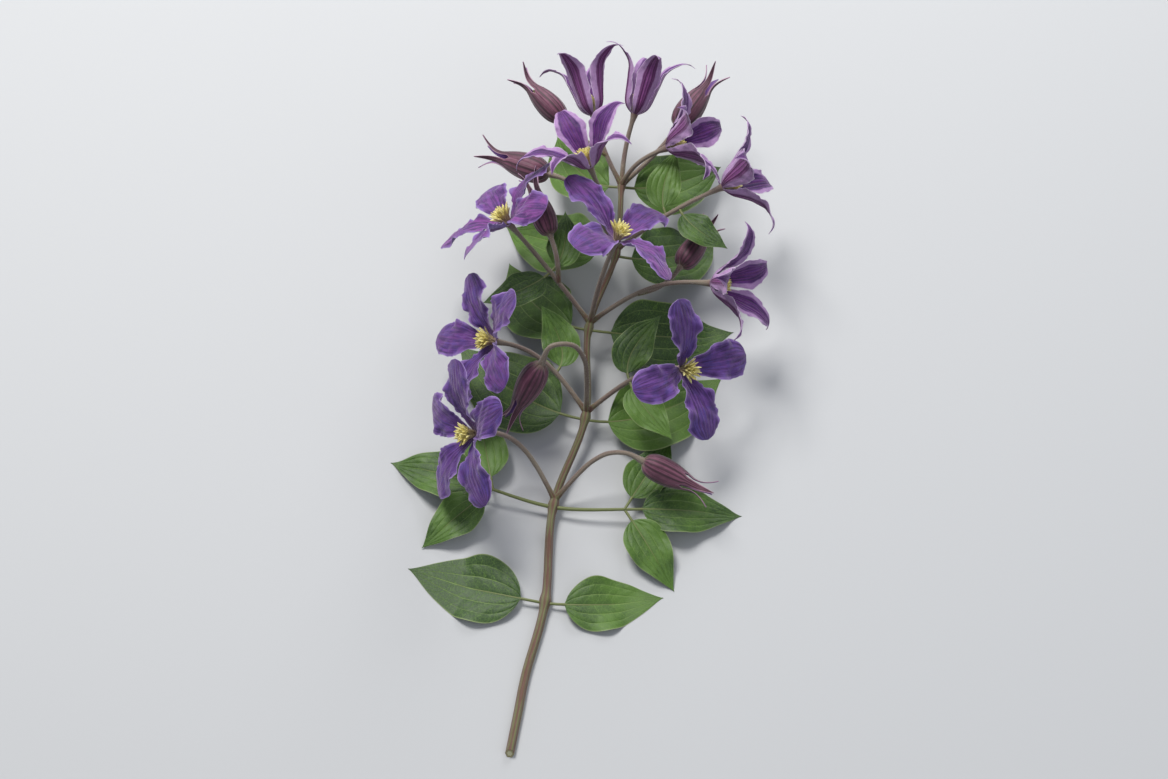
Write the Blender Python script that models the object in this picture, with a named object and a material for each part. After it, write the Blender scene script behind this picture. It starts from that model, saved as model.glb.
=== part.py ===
# A cut stem of clematis with its leaves, flowers and buds, lying on a flat surface.
# Lengths are in millimetres and become metres when a mesh is written. +Z is up, the surface is at Z = 0,
# and the main stem runs along +Y from its cut end. The origin lies under the middle of the whole stem.

import math

import bmesh
import bpy
import numpy as np

MM = 0.001
SEED = 11
SHARP_ANGLE = 40

# Main stem, from the cut end to the top joint
CUT_END = (-0.9, -256.0)
STEM_RADIUS = 2.8
STEM_TOP_RADIUS = 1.8
STEM_SIDES = 8
CUT_SLANT = 0.6
JOINT_SWELL = 1.1
JOINT_REACH = 4.5
STEM_SPACING = 18.0
FLAT_RUN = (0.0, 28.0, 56.0)
JOINTS = {
    1: (3.0, 108.0, 3.7),
    2: (-4.0, 176.0, 7.0),
    3: (6.0, 242.0, 14.0),
    4: (-3.0, 306.0, 23.0),
    5: (6.0, 364.0, 31.0),
    6: (1.0, 416.0, 39.0),
}

# Side shoots and flower stalks
SHOOT_RADIUS = 1.7
STALK_RADIUS = 1.5
STALK_END_RADIUS = 2.5
STALK_FLARE = 0.86
SHOOT_SIDES = 5
SHOOT_STEPS = 6

# How far along the stem from a joint its shoots and its leaves leave
SHOOT_OFFSET = 4.0
LEAF_OFFSET = -1.5

# Clearances between pieces that only touch
SEAT_GAP = 0.3
LEAF_THICKNESS = 0.7
PETAL_THICKNESS = 0.7

# Petal forms: lengths in mm, lean in degrees from the flower's axis at five even stations,
# wrap as 1/radius of the petal's hollow at the same stations
FORMS = {
    "bell": {
        "length": 58.0,
        "half_width": 10.2,
        "rise": 0.75,
        "fall": 1.30,
        "lean": (62.0, 10.0, 12.0, 54.0, 116.0),
        "wrap": (0.16, 0.12, 0.07, 0.04, 0.04),
        "ruffle": 0.3,
        "stamens": 6,
        "spread": 12.0,
    },
    "star": {
        "length": 56.0,
        "half_width": 11.4,
        "rise": 0.80,
        "fall": 1.22,
        "lean": (64.0, 34.0, 42.0, 76.0, 140.0),
        "wrap": (0.14, 0.09, 0.04, 0.02, 0.03),
        "ruffle": 0.7,
        "stamens": 8,
        "spread": 20.0,
    },
    "wide": {
        "length": 52.0,
        "half_width": 13.6,
        "rise": 1.05,
        "fall": 0.50,
        "lean": (66.0, 58.0, 74.0, 92.0, 104.0),
        "wrap": (0.13, 0.07, 0.02, -0.02, -0.03),
        "ruffle": 1.8,
        "stamens": 8,
        "spread": 30.0,
    },
}
# How one petal may differ from the next: its turn in radians, its length and width as factors, its lean and
# twist in degrees, its sway in mm, and the count and phase of the waves along its edges
PETAL_QUIRKS = {
    "turn": (-0.05, 0.05),
    "length": (0.94, 1.05),
    "width": (0.92, 1.06),
    "lean": (-16, 18),
    "twist": (-24, 24),
    "sway": (-5, 5),
    "waves": (2.0, 3.0),
    "phase": (0, 1),
}
BELL_STIFFNESS = 0.6
PETAL_FOOT = (1.4, 1.3)
PETAL_TIP_HALF = 0.55
CLAW = 1.9
SIDE_BY_SIDE = 0.88
EDGE_SHIFT = 1.7
PETAL_ROWS = 5
PETAL_COLUMNS = 4
HUB = ((0.0, 2.6), (0.9, 3.7), (2.3, 3.2))
HUB_SIDES = 8

# Stamens: the core's radius at distances up the flower's axis, then the needles round it, each a share of a
# turn from the last
STAMEN_SEAT = 2.6
STAMEN_CORE = ((0.0, 2.1), (4.0, 2.2), (8.5, 1.2))
STAMEN_CORE_SIDES = 6
STAMEN_TURN = 0.382
STAMEN_ROOT = 1.2
STAMEN_LENGTHS = (10.5, 12.5)
STAMEN_RADII = (0.8, 0.5)

# Bud body: radius in shares of its widest, at shares of the body's length
BUD_PROFILE = ((0.0, 0.30), (0.06, 0.64), (0.22, 0.95), (0.42, 1.0), (0.74, 0.80), (1.0, 0.30))
BUD_BODY = 0.66
BUD_SIDES = 10
BUD_LOBES = 0.05

# Bud tips: where they start, as shares of the body's length and of its radius, their length as a share of
# the bud's, and how far they spread, in turn
BUD_TIP_START = (0.74, 0.50)
BUD_TIP_LENGTH = 0.46
BUD_TIP_RADII = (2.6, 0.5)
BUD_TIP_SPREADS = (0.5, 0.75)
BUD_TIP_STEPS = 3

# Each shoot: where it leaves (a joint, or a shoot and a share of its length), its first and last heading as
# (azimuth from +Y towards +X, elevation), its length, how late it turns, and what it carries
SHOOTS = {
    "top": (6, (-6, 20), (10, 34), 50.0, 1.0, ("bloom", "bell", 4, 20)),
    "top_right": (6, (44, 22), (24, 8), 58.0, 1.4, ("bud", 56.0, 9.0, 0)),
    "top_left": (6, (-44, 30), (-26, 24), 52.0, 1.0, ("bloom", "bell", 4, 50)),
    "top_up": (6, (46, 62), (74, 28), 46.0, 1.0, ("bloom", "star", 5, 20)),
    "five_right": (5, (56, 30), (64, 20), 84.0, 1.2, ("bloom", "star", 4, 10)),
    "five_left": (5, (-44, 26), (-76, -10), 74.0, 2.2, ("bud", 58.0, 9.2, 30)),
    "five_up": (5, (-34, 60), (-52, 58), 66.0, 1.0, ("bloom", "star", 5, 35)),
    "four_right": (4, (54, 26), (98, 20), 92.0, 1.2, ("bloom", "star", 5, 40)),
    "four_left": (4, (-52, 24), (-70, 46), 88.0, 1.4, ("bloom", "wide", 5, 15)),
    "four_up": (4, (14, 66), (34, 62), 70.0, 1.0, ("bloom", "wide", 4, 0)),
    "three_left": (3, (-50, 24), (-112, 34), 84.0, 1.4, ("bloom", "wide", 5, 25)),
    "three_right": (3, (50, 26), (116, 40), 82.0, 1.4, ("bloom", "wide", 4, 60)),
    "three_up": (3, (-8, 68), (-166, -64), 90.0, 2.4, ("bud", 58.0, 8.8, 45)),
    "two_left": (2, (-44, 36), (-124, 28), 80.0, 1.6, ("bloom", "wide", 5, 70)),
    "right_bud": (("four_right", 0.42), (60, -10), (22, 0), 40.0, 1.0, ("bud", 48.0, 8.0, 10)),
    "two_right": (2, (42, 36), (108, -14), 74.0, 2.0, ("bud", 54.0, 8.6, 20)),
    "top_left_bud": (("top_left", 0.45), (-74, 20), (-52, 8), 40.0, 1.0, ("bud", 52.0, 8.4, 15)),
    "four_left_bud": (("four_left", 0.4), (-10, 50), (-30, 15), 34.0, 1.0, ("bud", 50.0, 8.2, 30)),
}

# Each leaf: where it sits, its heading as (azimuth, elevation) when it leaves the stem and at its tip,
# blade length, half width, stalk length and roll in degrees about its own rib
LEAVES = {
    "leaf_1_left": (1, (-90, 8), (-80, -16), 80.0, 24.0, 12.0, 4),
    "leaf_1_right": (1, (90, 8), (70, -14), 66.0, 19.0, 9.0, -6),
    "leaf_3_left": (3, (-90, 0), (-52, -16), 96.0, 30.0, 14.0, 8),
    "leaf_3_right": (3, (90, 0), (42, -14), 92.0, 28.0, 12.0, -6),
    "leaf_4_left": (4, (-90, 0), (-30, -24), 86.0, 25.0, 9.0, 10),
    "leaf_4_right": (4, (90, 0), (66, -24), 92.0, 27.0, 12.0, -8),
    "leaf_5_left": (5, (-90, 0), (-62, -30), 84.0, 25.0, 10.0, 8),
    "leaf_5_right": (5, (90, 0), (32, -34), 84.0, 25.0, 8.0, -8),
    "leaf_6_left": (6, (-90, -10), (-26, -18), 76.0, 22.0, 6.0, 14),
    "leaf_6_right": (6, (90, -10), (40, -22), 78.0, 23.0, 6.0, -16),
    "small_leaf_five_right_a": (("five_right", 0.62), (150, 0), (112, -6), 40.0, 11.5, 4.0, 0),
    "small_leaf_five_right_b": (("five_right", 0.5), (-30, 10), (14, 14), 44.0, 12.0, 4.0, 0),
    "small_leaf_four_left_a": (("four_left", 0.5), (30, 10), (-12, 10), 42.0, 12.0, 4.0, 0),
    "small_leaf_four_left_b": (("four_left", 0.5), (-150, 0), (-116, -8), 46.0, 13.0, 4.0, 0),
    "small_leaf_three_left": (("three_left", 0.4), (10, 10), (-46, 22), 46.0, 13.0, 4.0, 0),
    "small_leaf_three_right_a": (("three_right", 0.45), (-20, 10), (36, 16), 48.0, 13.5, 4.0, 0),
    "small_leaf_three_right_b": (("three_right", 0.45), (170, 0), (128, -10), 46.0, 13.0, 4.0, 0),
}
LEAF_ROWS = 6
LEAF_COLUMNS = 4
LEAF_RISE = 0.66
LEAF_FALL = 1.25
LEAF_FOLD = 0.20
LEAF_CURL = 0.10
LEAF_WAVE = 0.11
LEAF_WAVES = 2.2
LEAF_STEPS = 16
LEAF_TURN = 0.45
LEAFSTALK_HALF = 0.9
LEAFSTALK_THICKNESS = 1.8

# Leaves of three leaflets on one stalk: where they sit, first and last heading of the stalk, its length,
# leaflet length and half width; then each leaflet's turn from the stalk in degrees, its size and its rise
THREEFOLD = {
    "threefold_leaf_left": (2, (-90, 6), (-80, 3), 38.0, 64.0, 18.0),
    "threefold_leaf_right": (2, (90, 6), (80, 3), 44.0, 68.0, 18.0),
}
THREEFOLD_STALK_RADII = (1.3, 1.0)
THREEFOLD_STALK_SIDES = 5
THREEFOLD_STALK_STEPS = 6
THREEFOLD_STALK_TURN = 0.5
LEAFLET_STALK = 11.0
LEAFLET_START = 0.6
LEAFLET_ARCH = (2, -20)
LEAFLET_STEPS = 14
LEAFLETS = ((0.0, 1.0, 0.0), (-60.0, 0.82, 0.4), (60.0, 0.82, -0.4))

COLOURS = {
    "stem": ((0.105, 0.085, 0.045, 1.0), 0.6),
    "leaf": ((0.045, 0.115, 0.022, 1.0), 0.5),
    "petals": ((0.185, 0.070, 0.330, 1.0), 0.6),
    "bud": ((0.230, 0.080, 0.130, 1.0), 0.65),
    "stamens": ((0.640, 0.560, 0.230, 1.0), 0.6),
}


def heading(azimuth, elevation):
    a, e = math.radians(azimuth), math.radians(elevation)
    return np.array([math.sin(a) * math.cos(e), math.cos(a) * math.cos(e), math.sin(e)])


def unit(vector):
    return vector / np.linalg.norm(vector)


def square_to(way):
    # A level direction at right angles to the way, or one along X and Y where the way is nearly upright
    reference = (0.0, 0.0, 1.0) if abs(way[2]) < 0.9 else (0.0, 1.0, 0.0)
    return unit(np.cross(way, reference))


def eased(values, share):
    # Smooth reading of evenly spaced values at a share from 0 to 1
    place = np.clip(share, 0, 1) * (len(values) - 1)
    low = np.minimum(place.astype(int), len(values) - 2)
    part = place - low
    part = part * part * (3 - 2 * part)
    values = np.asarray(values, float)
    return values[low] * (1 - part) + values[low + 1] * part


def through(knots, spacing):
    # A Catmull-Rom curve through the knots, read at an even spacing
    knots = np.asarray(knots, float)
    padded = np.vstack([2 * knots[0] - knots[1], knots, 2 * knots[-1] - knots[-2]])
    t = np.linspace(0, 1, 40, endpoint=False)[:, None]
    parts = []
    for a, b, c, d in zip(padded, padded[1:], padded[2:], padded[3:]):
        square = 2 * a - 5 * b + 4 * c - d
        cube = 3 * b - a - 3 * c + d
        parts.append(0.5 * (2 * b + (c - a) * t + square * t**2 + cube * t**3))
    fine = np.vstack([*parts, knots[-1:]])
    return Path(fine).even(spacing)


def turning(start, first, last, length, late, steps):
    # A path that leaves along one heading and ends along another; a larger late keeps the turn near its end
    share = (np.arange(steps) + 0.5) / steps
    share = share**late
    share = share * share * (3 - 2 * share)
    share = share[:, None]
    angle = math.acos(float(np.clip(first @ last, -0.9999, 0.9999)))
    ways = (np.sin((1 - share) * angle) * first + np.sin(share * angle) * last) / math.sin(angle)
    return Path(np.vstack([start, start + np.cumsum(ways * length / steps, axis=0)]))


class Path:
    def __init__(self, points):
        self.points = np.asarray(points, float)
        steps = np.linalg.norm(np.diff(self.points, axis=0), axis=1)
        self.run = np.concatenate([[0.0], np.cumsum(steps)])
        self.length = self.run[-1]

    def at(self, distance):
        return np.array([np.interp(distance, self.run, self.points[:, k]) for k in range(3)]).T

    def way(self, distance, reach=0.5):
        ahead = self.at(min(distance + reach, self.length))
        behind = self.at(max(distance - reach, 0.0))
        return unit(ahead - behind)

    def even(self, spacing):
        return Path(self.at(np.linspace(0, self.length, max(2, round(self.length / spacing) + 1))))


def solid_mesh(name, vertices, faces, colour):
    # One closed object, with its faces turned outwards, its colour and smooth shading
    mesh = bpy.data.meshes.new(name)
    mesh.from_pydata([tuple(v) for v in np.asarray(vertices) * MM], [], faces)
    work = bmesh.new()
    work.from_mesh(mesh)
    bmesh.ops.recalc_face_normals(work, faces=work.faces)
    work.to_mesh(mesh)
    work.free()
    obj = bpy.data.objects.new(name, mesh)
    bpy.context.scene.collection.objects.link(obj)
    obj.data.materials.append(material(colour))
    return obj


def material(kind):
    if kind in bpy.data.materials:
        return bpy.data.materials[kind]
    made = bpy.data.materials.new(kind)
    made.use_nodes = True
    shader = made.node_tree.nodes["Principled BSDF"]
    shader.inputs["Base Color"].default_value = COLOURS[kind][0]
    shader.inputs["Roughness"].default_value = COLOURS[kind][1]
    return made


def tube(name, path_points, radii, sides, colour, slant=0.0, lobes=0.0):
    # A closed tube of rings carried along the points with no twist; slant shears its first ring
    points = np.asarray(path_points, float)
    ways = np.gradient(points, axis=0)
    ways = ways / np.linalg.norm(ways, axis=1)[:, None]
    side = square_to(ways[0])
    turns = 2 * np.pi * (np.arange(sides) + 0.5) / sides
    rings = []
    for i, (centre, way, radius) in enumerate(zip(points, ways, radii)):
        side = unit(side - (side @ way) * way)
        up = np.cross(side, way)
        reach = radius * (1 + lobes * np.cos(4 * turns))
        ring = centre + np.outer(reach * np.cos(turns), side) + np.outer(reach * np.sin(turns), up)
        if i == 0 and slant:
            ring += np.outer((ring - centre) @ up, way) * slant
        rings.append(ring)
    count = len(rings)
    faces = []
    for i in range(count - 1):
        for k in range(sides):
            a, b = i * sides + k, i * sides + (k + 1) % sides
            faces.append((a, b, b + sides, a + sides))
    faces.append(tuple(range(sides)))
    faces.append(tuple(range((count - 1) * sides, count * sides)))
    return solid_mesh(name, np.vstack(rings), faces, colour)


def blade(name, grid, thickness, colour):
    # A closed leaf or petal: the middle surface's grid, pressed flat where it lies on the surface, given a
    # thickness along its own normals, with both faces split into the same triangles
    rows, columns = grid.shape[:2]
    half = np.broadcast_to(np.asarray(thickness, float) / 2, (rows,))[:, None]
    grid = grid.copy()
    grid[..., 2] = np.maximum(grid[..., 2], half)
    along = np.gradient(grid, axis=0)
    across = np.gradient(grid, axis=1)
    normal = np.cross(across, along)
    normal /= np.linalg.norm(normal, axis=2)[..., None]
    offset = normal * half[..., None]
    vertices = np.vstack([(grid + offset).reshape(-1, 3), (grid - offset).reshape(-1, 3)])
    back = rows * columns
    faces = []
    for i in range(rows - 1):
        for k in range(columns - 1):
            a = i * columns + k
            b, c, d = a + 1, a + columns + 1, a + columns
            faces += [(a, b, c), (a, c, d)]
            faces += [(a + back, c + back, b + back), (a + back, d + back, c + back)]
    rim = list(range(columns))
    rim += [i * columns + columns - 1 for i in range(1, rows)]
    rim += [(rows - 1) * columns + k for k in range(columns - 2, -1, -1)]
    rim += [i * columns for i in range(rows - 2, 0, -1)]
    for a, b in zip(rim, rim[1:] + rim[:1]):
        faces += [(a, a + back, b + back), (a, b + back, b)]
    return solid_mesh(name, vertices, faces, colour)


def joined(name, parts):
    # One body from overlapping parts, by a single Boolean union
    base, others = parts[0], parts[1:]
    group = bpy.data.collections.new(name + "_parts")
    for part in others:
        bpy.context.scene.collection.objects.unlink(part)
        group.objects.link(part)
    union = base.modifiers.new("union", "BOOLEAN")
    union.operation = "UNION"
    union.operand_type = "COLLECTION"
    union.collection = group
    union.solver = "EXACT"
    graph = bpy.context.evaluated_depsgraph_get()
    mesh = bpy.data.meshes.new_from_object(base.evaluated_get(graph))
    base.modifiers.clear()
    base.data = mesh
    base.name = name
    for part in others:
        bpy.data.objects.remove(part)
    bpy.data.collections.remove(group)
    return base


def leaf_shape(share):
    peak = LEAF_RISE / (LEAF_RISE + LEAF_FALL)
    top = peak**LEAF_RISE * (1 - peak) ** LEAF_FALL
    return share**LEAF_RISE * (1 - share) ** LEAF_FALL / top


def stem_radius(distance, joint_runs, length):
    upwards = max(0.0, distance - joint_runs[0]) / (length - joint_runs[0])
    swell = sum(math.exp(-(((distance - run) / JOINT_REACH) ** 2)) for run in joint_runs)
    return STEM_RADIUS + (STEM_TOP_RADIUS - STEM_RADIUS) * upwards + JOINT_SWELL * min(1.0, swell)


def stem_route():
    foot = STEM_RADIUS * math.cos(math.pi / STEM_SIDES)
    low = [(0.0, y, foot) for y in FLAT_RUN]
    knots = low + [JOINTS[k] for k in sorted(JOINTS)]
    route = through([(x + CUT_END[0], y + CUT_END[1], z) for x, y, z in knots], 1.0)
    route.points[:, 2] = np.maximum(route.points[:, 2], foot)
    return route


def joint_run(route, number):
    place = np.array(JOINTS[number]) + (CUT_END[0], CUT_END[1], 0.0)
    return float(route.run[np.argmin(np.linalg.norm(route.points - place, axis=1))])


def foothold(place, route, shoots, along):
    # The point, the way and the radius of what carries a shoot or a leaf
    if isinstance(place, int):
        run = min(joint_run(route, place) + along, route.length)
        runs = [joint_run(route, k) for k in sorted(JOINTS)]
        return route.at(run), route.way(run), stem_radius(run, runs, route.length)
    shoot, share = place
    path = shoots[shoot]
    run = path.length * share
    return path.at(run), path.way(run), SHOOT_RADIUS


def shoot_paths(route):
    paths = {}
    for name, (place, first, last, length, late, _) in SHOOTS.items():
        start, _, _ = foothold(place, route, paths, SHOOT_OFFSET)
        paths[name] = turning(start, heading(*first), heading(*last), length, late, SHOOT_STEPS)
    return paths


def stalk_radii(path):
    share = path.run / path.length
    radii = SHOOT_RADIUS + (STALK_RADIUS - SHOOT_RADIUS) * share
    flare = np.clip((share - STALK_FLARE) / (1 - STALK_FLARE), 0, 1) ** 1.5
    return radii + (STALK_END_RADIUS - STALK_RADIUS) * flare


def stem(route, shoots):
    runs = [joint_run(route, k) for k in sorted(JOINTS)]
    stations = set(np.arange(0.0, route.length, STEM_SPACING)) | {route.length}
    for run in runs:
        near = {run - JOINT_REACH, run, run + JOINT_REACH}
        stations = {s for s in stations if min(abs(s - n) for n in near) > JOINT_REACH}
        stations |= {n for n in near if n <= route.length}
    stations = sorted(stations | {route.length})
    radii = [stem_radius(s, runs, route.length) for s in stations]
    main = tube("main", [route.at(s) for s in stations], radii, STEM_SIDES, "stem", slant=CUT_SLANT)
    sides = [tube("side", path.points, stalk_radii(path), SHOOT_SIDES, "stem") for path in shoots.values()]
    return joined("stem", [main, *sides])


def flower_axes(way, roll):
    x = -square_to(way)
    y = np.cross(way, x)
    a = math.radians(roll)
    return math.cos(a) * x + math.sin(a) * y, math.cos(a) * y - math.sin(a) * x


def petal_grid(form, count, quirk, rows, columns):
    # The petal's middle surface as distances out from the flower's axis, along the tangent and up the axis
    share = np.linspace(0, 1, 4 * rows + 1)
    lean = np.radians(eased(form["lean"], share) + quirk["lean"] * share)
    step = form["length"] * quirk["length"] / (4 * rows)
    middle = (lean[1:] + lean[:-1]) / 2
    out = np.concatenate([[0.0], np.cumsum(np.sin(middle))])[::4] * step + PETAL_FOOT[0]
    up = np.concatenate([[0.0], np.cumsum(np.cos(middle))])[::4] * step + PETAL_FOOT[1]
    share, lean = share[::4], lean[::4]
    peak = form["rise"] / (form["rise"] + form["fall"])
    top = peak ** form["rise"] * (1 - peak) ** form["fall"]
    outline = share ** form["rise"] * (1 - share) ** form["fall"] / top
    half = form["half_width"] * quirk["width"] * outline
    half = np.maximum(half + CLAW * (1 - share) ** 4, PETAL_TIP_HALF)
    half = np.minimum(half, np.maximum(CLAW, SIDE_BY_SIDE * out * math.pi / count))
    u = np.linspace(-1, 1, columns + 1)[None, :]
    bend = eased(form["wrap"], share)[:, None]
    arc = bend * half[:, None] * u
    safe = np.where(np.abs(bend) < 1e-4, 1e-4, bend)
    across = np.sin(arc) / safe
    lift = (1 - np.cos(arc)) / safe
    wave = np.sin(2 * np.pi * (quirk["waves"] * share[:, None] + quirk["phase"]) + EDGE_SHIFT * np.sign(u))
    lift = lift + form["ruffle"] * np.sin(np.pi * share[:, None]) * np.abs(u) ** 2 * wave
    twist = np.radians(quirk["twist"]) * share[:, None]
    turned = across * np.cos(twist) - lift * np.sin(twist)
    lift = across * np.sin(twist) + lift * np.cos(twist)
    across = turned + quirk["sway"] * share[:, None] ** 2
    lean = lean[:, None]
    return out[:, None] - lift * np.cos(lean), across, up[:, None] + lift * np.sin(lean)


def petal_quirks(form, count, seed):
    rng = np.random.default_rng(SEED + seed)
    loose = 1.0 if form != "bell" else BELL_STIFFNESS
    quirks = []
    for k in range(count):
        quirk = {key: rng.uniform(*limits) for key, limits in PETAL_QUIRKS.items()}
        quirk["turn"] += 2 * math.pi * k / count
        for key in ("lean", "twist", "sway"):
            quirk[key] *= loose
        quirks.append(quirk)
    return quirks


def bloom(name, base, way, form_name, count, roll, seed):
    form = FORMS[form_name]
    x, y = flower_axes(way, roll)
    seat = base + way * SEAT_GAP
    hub = tube(name + "_hub", [seat + way * a for a, _ in HUB], [r for _, r in HUB], HUB_SIDES, "petals")
    petals = []
    for quirk in petal_quirks(form_name, count, seed):
        out, across, up = petal_grid(form, count, quirk, PETAL_ROWS, PETAL_COLUMNS)
        c, s = math.cos(quirk["turn"]), math.sin(quirk["turn"])
        radial, tangent = c * x + s * y, c * y - s * x
        grid = seat + out[..., None] * radial + across[..., None] * tangent + up[..., None] * way
        petals.append(blade(name + "_petal", grid, PETAL_THICKNESS, "petals"))
    joined(name + "_petals", [hub, *petals])
    stamens(name + "_stamens", seat + way * STAMEN_SEAT, way, x, y, form, seed)


def stamens(name, foot, way, x, y, form, seed):
    # A short core of packed stamens, with the outer ones standing out of it
    rng = np.random.default_rng(SEED + 100 + seed)
    points = [foot + way * a for a, _ in STAMEN_CORE]
    core = tube(name + "_core", points, [r for _, r in STAMEN_CORE], STAMEN_CORE_SIDES, "stamens")
    needles = []
    for k in range(form["stamens"]):
        turn = 2 * math.pi * k * STAMEN_TURN + rng.uniform(-0.2, 0.2)
        side = math.cos(turn) * x + math.sin(turn) * y
        lean = math.radians(form["spread"] * (0.35 + 0.65 * (k % 3) / 2) + rng.uniform(-3, 3))
        start = foot + (way + side) * STAMEN_ROOT
        first = unit(way + side * math.tan(lean * 0.6))
        last = unit(way + side * math.tan(lean * 1.4 + 0.02))
        path = turning(start, first, last, rng.uniform(*STAMEN_LENGTHS), 1.0, 1)
        needles.append(tube(name + "_needle", path.points, STAMEN_RADII, 3, "stamens"))
    joined(name, [core, *needles])


def bud(name, base, way, length, radius, roll):
    # A closed bud: a body of four lobes, and the four petal tips that part beyond it
    x, y = flower_axes(way, roll)
    seat = base + way * SEAT_GAP
    body_length = length * BUD_BODY
    points = [seat + way * a * body_length for a, _ in BUD_PROFILE]
    radii = [r * radius for _, r in BUD_PROFILE]
    body = tube(name + "_body", points, radii, BUD_SIDES, "bud", lobes=BUD_LOBES)
    tip_radii = np.linspace(*BUD_TIP_RADII, BUD_TIP_STEPS + 1)
    tips = []
    for k in range(4):
        turn = math.pi / 2 * k
        side = math.cos(turn) * x + math.sin(turn) * y
        start = seat + way * body_length * BUD_TIP_START[0] + side * radius * BUD_TIP_START[1]
        last = unit(way + side * BUD_TIP_SPREADS[k % 2])
        path = turning(start, unit(way + side * 0.05), last, length * BUD_TIP_LENGTH, 1.5, BUD_TIP_STEPS)
        tips.append(tube(name + "_tip", path.points, tip_radii, 3, "bud"))
    joined(name, [body, *tips])


def leaf_grid(path, stalk, blade_length, half_width, roll, seed):
    rng = np.random.default_rng(SEED + 200 + seed)
    share = np.linspace(0, 1, LEAF_ROWS + 1) ** 0.9
    runs = np.concatenate([[0.0], stalk + share * blade_length])
    share = np.concatenate([[0.0], share])
    half = np.maximum(half_width * leaf_shape(share), LEAFSTALK_HALF * (1 - 0.4 * share))
    u = np.linspace(-1, 1, LEAF_COLUMNS + 1)
    phase = rng.uniform(0, 1, 2)
    turn = math.radians(roll)
    rows = []
    for run, part, wide in zip(runs, share, half):
        way = path.way(run, 2.0)
        side = unit(np.cross(way, np.array([0.0, 0.0, 1.0])))
        face = np.cross(side, way)
        rolled = math.cos(turn) * side + math.sin(turn) * face
        face = math.cos(turn) * face - math.sin(turn) * side
        wave = np.sin(2 * np.pi * (LEAF_WAVES * part + np.where(u < 0, phase[0], phase[1]))) * (part > 0)
        lift = wide * (LEAF_FOLD * np.abs(u) ** 1.2 - LEAF_CURL * u**2 + LEAF_WAVE * wave * u**2)
        rows.append(path.at(run) + np.outer(wide * u, rolled) + np.outer(lift, face))
    thickness = np.where(share > 0, LEAF_THICKNESS, LEAFSTALK_THICKNESS)
    return np.array(rows), thickness


def leaf_start(place, first, route, shoots):
    # Where a leafstalk meets the stem: square off it towards the first heading, a small gap away
    centre, way, radius = foothold(place, route, shoots, LEAF_OFFSET)
    side = heading(*first)
    side = unit(side - (side @ way) * way)
    return centre + side * (radius + SEAT_GAP), side


def leaf(name, place, first, last, length, half_width, stalk, roll, route, shoots, seed):
    start, side = leaf_start(place, first, route, shoots)
    path = turning(start, side, heading(*last), length + stalk, LEAF_TURN, LEAF_STEPS)
    grid, thickness = leaf_grid(path, stalk, length, half_width, roll, seed)
    return blade(name, grid, thickness, "leaf")


def threefold_leaf(name, place, first, last, stalk, length, half_width, route, shoots, seed):
    start, side = leaf_start(place, first, route, shoots)
    path = turning(start, side, heading(*last), stalk, THREEFOLD_STALK_TURN, THREEFOLD_STALK_STEPS)
    radii = np.linspace(*THREEFOLD_STALK_RADII, THREEFOLD_STALK_STEPS + 1)
    parts = [tube(name + "_stalk", path.points, radii, THREEFOLD_STALK_SIDES, "leaf")]
    for k, (spread, size, lift) in enumerate(LEAFLETS):
        azimuth = last[0] + spread
        begin = path.points[-1] + LEAFLET_START * heading(azimuth, 0) + (0.0, 0.0, lift)
        reach = (length + LEAFLET_STALK) * size
        first_way, last_way = [heading(azimuth, elevation) for elevation in LEAFLET_ARCH]
        lie = turning(begin, first_way, last_way, reach, 1.0, LEAFLET_STEPS)
        blade_length = length * size
        grid, thickness = leaf_grid(lie, reach - blade_length, blade_length, half_width * size, 0, seed + k)
        parts.append(blade(name + "_leaflet", grid, thickness, "leaf"))
    return joined(name, parts)


def clear_scene():
    for obj in list(bpy.data.objects):
        bpy.data.objects.remove(obj)


def shade(obj):
    obj.data.shade_smooth()
    obj.data.set_sharp_from_angle(angle=math.radians(SHARP_ANGLE))


def main():
    clear_scene()
    route = stem_route()
    shoots = shoot_paths(route)
    stem(route, shoots)
    blooms = buds = 0
    for name, (_, _, _, _, _, end) in SHOOTS.items():
        tip, way = shoots[name].points[-1], shoots[name].way(shoots[name].length)
        if end[0] == "bloom":
            blooms += 1
            bloom(f"bloom_{blooms}", tip, way, end[1], end[2], end[3], blooms)
        else:
            buds += 1
            bud(f"bud_{buds}", tip, way, end[1], end[2], end[3])
    for seed, (name, values) in enumerate(LEAVES.items()):
        leaf(name, *values, route, shoots, seed)
    for seed, (name, values) in enumerate(THREEFOLD.items()):
        threefold_leaf(name, *values, route, shoots, 50 + 5 * seed)
    for obj in bpy.context.scene.objects:
        shade(obj)


main()
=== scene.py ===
import math

import bpy
import numpy as np
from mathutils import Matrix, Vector


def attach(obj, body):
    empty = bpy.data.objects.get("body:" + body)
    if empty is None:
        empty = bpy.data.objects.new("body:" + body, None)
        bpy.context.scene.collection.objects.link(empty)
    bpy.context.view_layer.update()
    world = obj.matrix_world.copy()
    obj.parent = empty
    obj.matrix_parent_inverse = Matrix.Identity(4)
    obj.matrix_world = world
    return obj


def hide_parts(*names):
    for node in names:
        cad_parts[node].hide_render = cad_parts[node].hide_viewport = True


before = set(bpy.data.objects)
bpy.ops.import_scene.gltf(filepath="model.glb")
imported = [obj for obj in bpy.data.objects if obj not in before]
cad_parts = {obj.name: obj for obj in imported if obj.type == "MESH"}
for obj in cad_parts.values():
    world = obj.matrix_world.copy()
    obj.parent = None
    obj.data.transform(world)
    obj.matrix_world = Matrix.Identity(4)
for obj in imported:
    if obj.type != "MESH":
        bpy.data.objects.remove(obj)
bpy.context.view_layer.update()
print("frame: the packed stem is loaded")

mm = 0.001
seed = 11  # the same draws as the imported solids, so every petal and leaf keeps its own lean
goldenShare = 0.618  # steps of this share of a range never fall on one another
goldenTurn = 0.382  # the same for steps round a circle, in turns


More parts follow.
